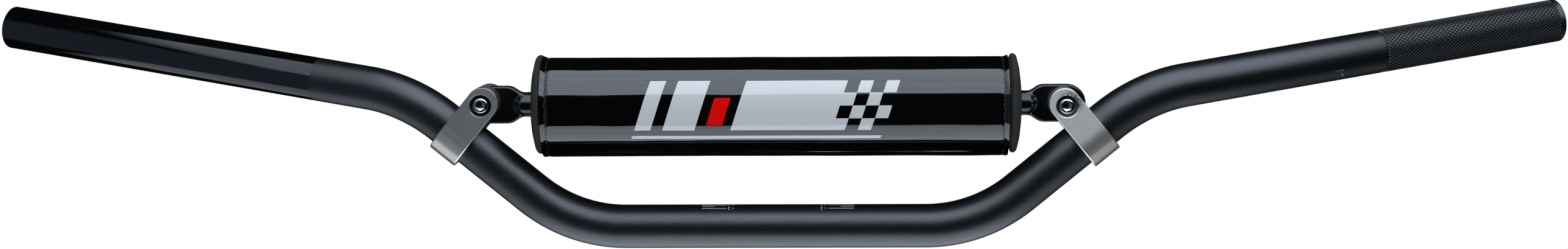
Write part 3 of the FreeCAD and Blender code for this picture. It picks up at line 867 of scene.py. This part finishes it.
TIP_REACH = LUG_HALF_HEIGHT - 0.1
upper_side = [(LUG_START, FLARE_ROOT)] + [flare(step / 10) for step in range(11)]
upper_side += [(BOLT_PLACE + TIP_REACH * sin(radians(angle)),
                LUG_HALF_HEIGHT * cos(radians(angle))) for angle in range(0, 90, 9)]
outline = upper_side + [(BOLT_PLACE + TIP_REACH, 0)] + [(x, -z) for x, z in reversed(upper_side)]
lug = draw_line("lug", [mm(x, -LUG_HALF_THICKNESS, PAD_AXIS_Z + z) for x, z in outline])
bpy.ops.mesh.edge_face_add()
bpy.ops.mesh.extrude_region_move(
    TRANSFORM_OT_translate={"value": mm(0, 2 * LUG_HALF_THICKNESS, 0)})
close_up(lug)
choose(lug, "EDGE", is_rim)
bpy.ops.mesh.bevel(offset=LUG_ROUNDING * MM, segments=4)
report(lug)

# %% One tongue
FORM = ((0, -6.9), (2.64, -6.9), (5.65, -3.3), (5.65, 3.3), (2.64, 6.9), (0, 6.9))
LENGTHWISE = (0, 90, 0)
press_axis = mm(PRESS_PLACE, 0, PAD_AXIS_Z)
tongue_form = draw_line("tongue_form", [mm(PRESS_PLACE + r, y, PAD_AXIS_Z) for r, y in FORM])
spin(360, 64, press_axis, (0, 1, 0))
close_up(tongue_form)
tongue = add_rod("tongue", 96, ROD_RADIUS, 12, press_axis, LENGTHWISE)
cut_out(tongue, tongue_form, "INTERSECT")
report(tongue)

# %% Join the two ends to the rod
rod = add_rod("pressed_crossbar", 96, ROD_RADIUS, 2 * PRESS_PLACE, PAD_AXIS, LENGTHWISE)
join_as("pressed_crossbar", [rod, lug, tongue])


def is_lug_or_tongue(face):
    """Whether a face is of the lug or the tongue and not the flat end of the rod."""
    return face.center.x > (PRESS_PLACE - 6.5) * MM and not (
        abs(face.normal.x) > 0.99 and abs(face.center.x - PRESS_PLACE * MM) < TOUCHING * MM)


choose(rod, "FACE", is_lug_or_tongue)
bpy.ops.mesh.duplicate_move()
bpy.ops.transform.mirror(constraint_axis=(True, False, False), center_override=(0, 0, 0))
bpy.ops.mesh.flip_normals()
report(rod)

# %% Blend, drill and finish the cross bar
FLARE_HEIGHT = 4.4  # mm above or below the axis, where a lug's flare is smoothed further
apply(rod, "REMESH", mode="VOXEL", voxel_size=0.45 * MM, use_smooth_shade=True)
apply(rod, "SMOOTH", factor=0.5, iterations=4)
flares = rod.vertex_groups.new(name="flares")
flares.add([vertex.index for vertex in rod.data.vertices
            if LUG_START < abs(vertex.co.x / MM) < FLARE_END + 0.5
            and abs(vertex.co.z / MM - PAD_AXIS_Z) > FLARE_HEIGHT], 1.0, "REPLACE")
apply(rod, "SMOOTH", factor=0.5, iterations=30, vertex_group="flares")
for side in (-1, 1):
    drill = add_rod("drill", 48, 3.2, 12, mm(side * BOLT_PLACE, 0, PAD_AXIS_Z) + slid(side), (90, 0, 0))
    cut_out(rod, drill)
dress(rod, gloss)
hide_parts("crossbar")
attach(rod, "root")
report(rod)

# %% [markdown]
# ## The clamps
# Each clamp is machined from the solid, so its faces are flat and its edges only just broken. The
# flat triangles of the copy are joined into whole faces and a narrow bevel rounds the edges. The
# bevel's hardened normals keep the flats flat and the round round.

# %% Copies of CAD solids
def copy_of(node, name):
    """A merged copy of a CAD node, free of its imported normals, standing for the node."""
    piece = frame["nodes"][node].copy()
    piece.data = piece.data.copy()
    piece.parent = None
    piece.name = piece.data.name = name
    bpy.context.collection.objects.link(piece)
    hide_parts(node)
    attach(piece, "root")
    pick(piece)
    bpy.ops.mesh.customdata_custom_splitnormals_clear()
    open_whole(piece)
    bpy.ops.mesh.remove_doubles(threshold=DOUBLES)
    bpy.ops.object.mode_set(mode="OBJECT")
    return piece


# %% The clamps
CLAMP_ROUNDING = 0.16


def round_edges(piece, width, angle=25):
    """Joins flat triangles, then rounds the edges by a width in mm and keeps the flats flat."""
    open_whole(piece)
    bpy.ops.mesh.dissolve_limited(angle_limit=radians(1))
    bpy.ops.object.mode_set(mode="OBJECT")
    smooth()
    apply(piece, "BEVEL", width=width * MM, segments=2, limit_method="ANGLE",
          angle_limit=radians(angle), harden_normals=True)


for name, side, finish in (("left", -1, left_satin_painted_shade), ("right", 1, right_satin)):
    clamp = copy_of(name + "_clamp", name + "_riser_clamp")
    round_edges(clamp, CLAMP_ROUNDING)
    open_whole(clamp)
    bpy.ops.transform.translate(value=slid(side))
    dress(clamp, finish)
    report(clamp)

# %% [markdown]
# ## The bolts
# Each clamp is closed by an M6 socket bolt. Its head is turned with a round shoulder, which is what
# shines as a broken ring, and the hexagonal socket is punched into it: a six-sided prism with a
# drilled point is cut out of the turned body.

# %% The turned bolt
HEAD_TOP = -13.65
BOLT_ROUNDING = 0.12
PROFILE = [(0, 0), (2.5, 0), (2.8, -0.04), (3.15, -0.14), (3.5, -0.3), (3.78, -0.52), (3.96, -0.84),
           (4.06, -1.4), (4.9, -5.6), (5, -5.8), (5, -6), (3, -6), (3, -25.2), (2.2, -26), (0, -26)]
bolt = draw_line("left_socket_bolt", [mm(r - BOLT_PLACE, HEAD_TOP - h, PAD_AXIS_Z) for r, h in PROFILE])
spin(360, 64, mm(-BOLT_PLACE, 0, PAD_AXIS_Z), (0, 1, 0))
close_up(bolt)
report(bolt)

# %% The socket
SOCKET_DEPTH, SOCKET_POINT = 3, 1.3
SOCKET_CORNER_RADIUS = 2.6
SOCKET_TURN = 12
punch = add_rod("socket_punch", 6, SOCKET_CORNER_RADIUS, 2 * SOCKET_DEPTH,
                mm(-BOLT_PLACE, HEAD_TOP, PAD_AXIS_Z), (90, SOCKET_TURN, 0))
choose(punch, "FACE", lambda face: face.center.y > (HEAD_TOP + SOCKET_DEPTH - 0.1) * MM)
bpy.ops.mesh.extrude_region_move(TRANSFORM_OT_translate={"value": mm(0, SOCKET_POINT, 0)})
bpy.ops.mesh.merge(type="CENTER")
close_up(punch)
cut_out(bolt, punch)
round_edges(bolt, BOLT_ROUNDING, 32)
dress(bolt, zinc)
report(bolt)

# %% The second bolt is a copy
other = bolt.copy()
other.data = bolt.data.copy()
other.name = other.data.name = "right_socket_bolt"
bpy.context.collection.objects.link(other)
for piece, move in ((bolt, slid(-1)), (other, mm(2 * BOLT_PLACE, 0, 0) + slid(1))):
    pick(piece)
    bpy.ops.transform.translate(value=move)
    bpy.ops.object.transform_apply()
for piece, node in ((bolt, "left_bolt"), (other, "right_bolt")):
    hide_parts(node)
    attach(piece, "root")
report(other)

# %% [markdown]
# ## The closure
# The two strips of hook and loop tape under the flap already have their true shape, so only their
# finish changes.

# %% Finish of the closure
for node in ("loop_strip", "hook_strip"):
    for slot in frame["nodes"][node].material_slots:
        slot.material = nylon
    print(node, "is", nylon.name)

# %% [markdown]
# ## Alignment marks
# Printed lines and numbers on top of the clamping section show the rider how far the bar is turned.
# They are thin flat meshes that lie just above the tube's skin. Low on the tube beside the knurl is a
# small tick of two strokes, where a punch has cut through the black and the metal glints a little.

# %% Alignment marks
MARK_LINES = [  # start and end along the bar in mm, degrees from the rear, width in mm
    (-37.3, -24.7, 61, 0.35), (-37.2, -30.9, 70, 0.25), (-37.3, -24.7, 79, 0.3),
    (26.8, 39.8, 61, 0.35), (33.1, 39.8, 70, 0.25), (26.8, 39.8, 80, 0.3),
    (-22.3, -21.1, 62, 0.3), (-22.3, -21.1, 80, 0.3), (24.7, 25.8, 62, 0.3), (24.7, 25.8, 80, 0.3)]
MARK_DIGITS = [("2", -23.6, 62), ("1", -23.6, 80), ("2", 23.4, 62), ("1", 23.4, 80)]
MARK_LIFT = 0.03
DIGIT_SIZE, DIGIT_SHAPE = 3.0, (0.8, 1.25, 1, 1)


def on_bar(along, angle):
    """A matrix at a point of the clamping section, facing out, with its X along the bar."""
    return (Matrix.Rotation(radians(90 - angle), 4, "X")
            @ Matrix.Translation(mm(along, 0, TUBE_RADIUS + MARK_LIFT)))


def lay_stroke(where, length, width):
    """A flat stroke laid at a matrix, with its sizes in mm."""
    deselect()
    bpy.ops.mesh.primitive_plane_add(size=1)
    bpy.context.object.matrix_world = where @ Matrix.Diagonal((length * MM, width * MM, 1, 1))
    return place_mesh("stroke")


def lay_digit(where, digit):
    """A flat digit laid at a matrix, upside down to the reader in front."""
    deselect()
    bpy.ops.object.text_add()
    text = bpy.context.object.data
    text.body, text.size = digit, DIGIT_SIZE * MM
    text.align_x, text.align_y = "CENTER", "CENTER"
    bpy.ops.object.convert(target="MESH")
    bpy.context.object.matrix_world = (
        where @ Matrix.Rotation(pi, 4, "Z") @ Matrix.Diagonal(DIGIT_SHAPE))
    return place_mesh("digit")


marks = [lay_stroke(on_bar((start + end) / 2, angle), end - start, width)
         for start, end, angle, width in MARK_LINES]
marks += [lay_digit(on_bar(along, angle), digit) for digit, along, angle in MARK_DIGITS]
printed = join_as("alignment_marks", marks)
apply(printed, "SOLIDIFY", thickness=0.06 * MM, offset=0)
dress(printed, ink)
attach(printed, "root")
report(printed)

# %% The punched tick
TICK_BACK, TICK_TURN = 128.4, 27.0  # mm back from the tip, degrees down from the front
TICK_STROKES = [(0, 0, 4.8, 90), (2.0, 16, 2.9, 28)]  # mm to the tip, degrees down, length, slant
TICK_WIDTH, TICK_SINK = 0.45, 0.02
grip_up = (Vector((0, 0, 1)) - GRIP_HEADING * GRIP_HEADING.z).normalized()
grip_front = GRIP_HEADING.cross(grip_up)
print("the grip's front looks along", [round(value, 3) for value in grip_front])


def beside_knurl(back, degrees_down):
    """A matrix on the clutch-side grip: X runs down round the tube, Y to the tip, Z out."""
    down = radians(degrees_down)
    out = grip_front * cos(down) - grip_up * sin(down)
    reading = -grip_front * sin(down) - grip_up * cos(down)
    facing = Matrix((reading, GRIP_HEADING, out)).transposed().to_4x4()
    reach = (TUBE_RADIUS - TICK_SINK) * MM
    return Matrix.Translation(TIP - GRIP_HEADING * back * MM + out * reach) @ facing


tick = join_as("punched_tick", [
    lay_stroke(beside_knurl(TICK_BACK - ahead, TICK_TURN + down)
               @ Matrix.Rotation(radians(slant), 4, "Z"), length, TICK_WIDTH)
    for ahead, down, length, slant in TICK_STROKES])
apply(tick, "SOLIDIFY", thickness=0.1 * MM, offset=0)
dress(tick, bare)
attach(tick, "root")
report(tick)

# %% [markdown]
# ## The studio
# Two long soft boxes light the bar, one overhead and to the front, one below it: panels of glowing
# cloth that dim towards their ends, with faint folds along them. Glossy black only shows what it
# mirrors, so their edges draw the long bands on the pad and the soft ones on the tube, and the dark
# gap between them is what makes the black look black.

# %% A soft box
CLOTH_LIGHT = (0.94, 0.99, 1.04, 1)  # a little cooler than white
DIMMED_SIDES = (0.25, 0.5)  # metres from the middle, between which each side reaches its own gain
REAR_EDGE = (0.3, -0.05)  # metres up the panel, between which it reaches the gain of its rear
FOLD_SIZE, FOLD_STRETCH, FOLD_GAIN = 70, (0.06, 1, 1), (0.88, 1.1)


def soft_box(name, elevation, distance, outline, radiance, fade, rear_gain, side_gains):
    """A glowing cloth panel that faces the bar, with an outline of (across, up) in metres."""
    angle = radians(elevation)
    outward = Vector((0, -cos(angle), sin(angle)))
    up = Vector((0, sin(angle), cos(angle)))
    panel = draw_line(name, [outward * distance + Vector((across, 0, 0)) + up * rise
                             for across, rise in outline])
    bpy.ops.mesh.edge_face_add()
    bpy.ops.object.mode_set(mode="OBJECT")
    if panel.data.polygons[0].normal.dot(outward) > 0:
        turn_over(panel)
    dress(panel, glowing_cloth(name + "_cloth", up, radiance, fade, rear_gain, side_gains))
    panel.visible_camera = panel.visible_shadow = False
    print(name, "is", round(panel.data.polygons[0].area, 2), "square metres")


def glowing_cloth(name, up, radiance, fade, rear_gain, side_gains):
    """Cloth lit from behind, on its front only; fade is where it dims, where it ends and a slant."""
    dim_from, dark_from, slant = fade
    near, far = DIMMED_SIDES
    cloth, tree, shader, place = new_finish(name)
    tree.nodes.remove(shader)
    sideways = add(tree, "SeparateXYZ", place, out="X")
    across = add(tree, "Math", sideways, operation="ABSOLUTE")
    rise = add(tree, "VectorMath", place, up, out="Value", operation="DOT_PRODUCT")
    slanted_end = add(tree, "Math", rise, slant, across, operation="MULTIPLY_ADD")
    folds = blotches(tree, place, FOLD_SIZE, 2, FOLD_STRETCH)
    backfacing = add(tree, "NewGeometry", out="Backfacing")
    strength = fold(
        tree, "MULTIPLY",
        add(tree, "MapRange", slanted_end, dim_from, dark_from, 1, 0),
        add(tree, "MapRange", folds, *NOISE_RANGE, *FOLD_GAIN),
        add(tree, "MapRange", rise, *REAR_EDGE, 1.0, rear_gain),
        fold(tree, "SUBTRACT", 1.0, backfacing),
        add(tree, "MapRange", sideways, -near, -far, 1.0, side_gains[0]),
        add(tree, "MapRange", sideways, near, far, 1.0, side_gains[1]),
        radiance)
    glow = add(tree, "Emission", {"Color": CLOTH_LIGHT, "Strength": strength})
    connect(tree.nodes["Material Output"], Surface=glow)
    return cloth


# %% The two soft boxes
UPPER_OUTLINE = [(-1.2, -0.59), (1.2, -0.59), (1.2, 0.55), (-1.2, 0.55)]
LOWER_OUTLINE = [(-1.0, -0.44), (1.0, -0.44), (1.0, -0.08), (0.65, 0.09), (0.2, 0.295),
                 (-0.2, 0.295), (-0.65, 0.09), (-1.0, -0.08)]
soft_box("upper_soft_box", 63.5, 0.90, UPPER_OUTLINE, 2.2, (0.9, 1.06, 0.15), 1.0, (0.4, 1.05))
soft_box("lower_soft_box", -81, 0.40, LOWER_OUTLINE, 1.5, (0.84, 0.95, 0.0), 1.2, (0.36, 0.12))

# %% [markdown]
# The world is white for the camera. For reflections it is white straight behind the bar and dark
# elsewhere, like the black flags round a product table, with a dim wall to the front left, and it
# adds a little even fill.

# %% The world
BEHIND = (0.985, 0.999)  # where each part of the room starts and is full, as parts of a direction
WALL_LEFT, WALL_LOW, WALL_AHEAD = (-0.22, -0.42), (0.66, 0.48), (0.1, -0.1)
world = bpy.data.worlds.new("studio")
world.use_nodes = True
bpy.context.scene.world = world
tree = world.node_tree
x, y, z = add(tree, "SeparateXYZ", add(tree, "TexCoord", out="Generated")).node.outputs
behind = add(tree, "MapRange", y, *BEHIND, 0, 1)
dim_wall = fold(tree, "MULTIPLY", *(add(tree, "MapRange", part, *limits, 0, 1) for part, limits in (
    (x, WALL_LEFT), (z, WALL_LOW), (y, WALL_AHEAD))))
rays = add(tree, "LightPath").node.outputs
colour = "#08090a"
for amount, seen in ((dim_wall, "#565d69"), (behind, "#ffffff")):
    colour = add(tree, "Mix", {0: amount, 6: colour, 7: seen}, **COLOURS)
room = add(tree, "Mix", {0: rays["Is Glossy Ray"], 6: "#7c7c7e", 7: colour}, **COLOURS)
connect(tree.nodes["Background"], Color=add(
    tree, "Mix", {0: rays["Is Camera Ray"], 6: room, 7: "#ffffff"}, **COLOURS))
print("world:", world.name)

# %% [markdown]
# The floor is pale paper, well below the bar. It keeps the bar's shadow, and a little glow that only
# the camera sees lifts it to white.

# %% The floor
FLOOR_SIZE, FLOOR_HEIGHT, FLOOR_GLOW = 6, -0.5, 0.35
deselect()
bpy.ops.mesh.primitive_plane_add(size=FLOOR_SIZE, location=(0, 0, FLOOR_HEIGHT))
floor = place_mesh("floor")
paper, tree, shader, place = new_finish(
    "pale_paper_floor", Roughness=0.9, Base_Color=linear("#f4f4f4"), Emission_Color=(1, 1, 1, 1))
camera_ray = add(tree, "LightPath", out="Is Camera Ray")
connect(shader, Emission_Strength=fold(tree, "MULTIPLY", camera_ray, FLOOR_GLOW))
dress(floor, paper)
floor.visible_glossy = False
print("the floor lies at", FLOOR_HEIGHT, "m")

# %% [markdown]
# ## The camera
# It stands about 1.2 m in front of the bar, a little above it, with a 54 mm lens on a full-frame
# sensor.

# %% Camera
CAMERA_PLACE = (36.55, -1188.98, 166.34)
PITCH, YAW, ROLL = radians(5.5), radians(-1.54), radians(0.19)
bpy.ops.object.camera_add()
camera = bpy.context.object
camera.name = "product_camera"
camera.data.sensor_width, camera.data.lens = 36, 54.13
camera.data.clip_start = 0.01
facing = (Matrix.Rotation(ROLL, 3, "Y").transposed() @ Matrix.Rotation(YAW, 3, "Z")
          @ Matrix.Rotation(PITCH, 3, "X"))
right, forward, upward = facing.row
camera.matrix_world = (Matrix.Translation(mm(*CAMERA_PLACE))
                       @ Matrix((right, upward, -forward)).transposed().to_4x4())
bpy.context.scene.camera = camera
bpy.context.scene.view_settings.view_transform = "Standard"
print("camera looks along", [round(value, 4) for value in forward])
